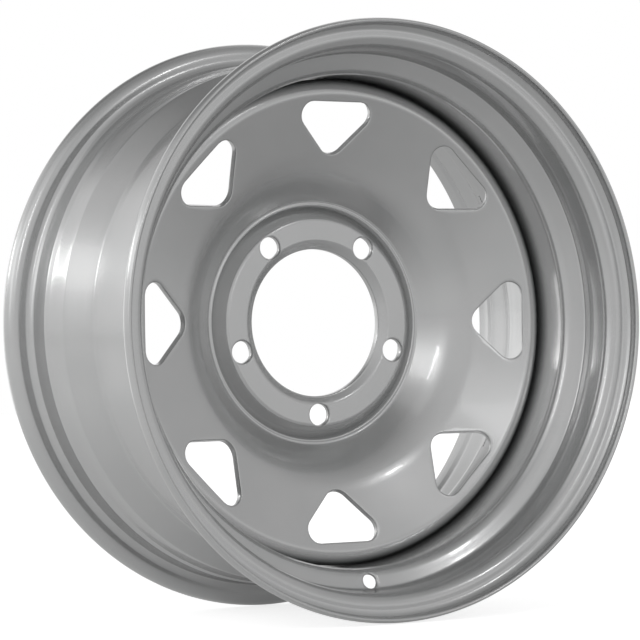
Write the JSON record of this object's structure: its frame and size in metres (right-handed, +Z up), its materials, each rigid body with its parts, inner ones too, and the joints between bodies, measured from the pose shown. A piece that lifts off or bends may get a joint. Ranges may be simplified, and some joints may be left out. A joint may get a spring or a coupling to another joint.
{
  "type": "steel wheel rim",
  "caption": "Pressed-steel off-road wheel: a drop-centre rim hoop with curled flanges, welded round a dished disc with triangular windows, bolt holes and a hub bore",
  "frame": {"origin": "the wheel's centre: on its axis, in the middle of the rim's width", "axes": "+Y is the wheel's axis, pointing inboard to the hub, so the outboard face looks towards -Y; +Z is up, with one bolt hole and the valve hole at the bottom; +X is to the right seen from outboard"},
  "size_m": [0.4401, 0.2056, 0.4402],
  "materials": {
    "silver_enamel": "neutral silver-grey metallic enamel with a soft gloss, sprayed over pressed and rolled steel"
  },
  "bodies": {
    "root": {"rim": "silver_enamel", "disc": "silver_enamel", "weld_beads": "silver_enamel"}
  },
  "joints": []
}
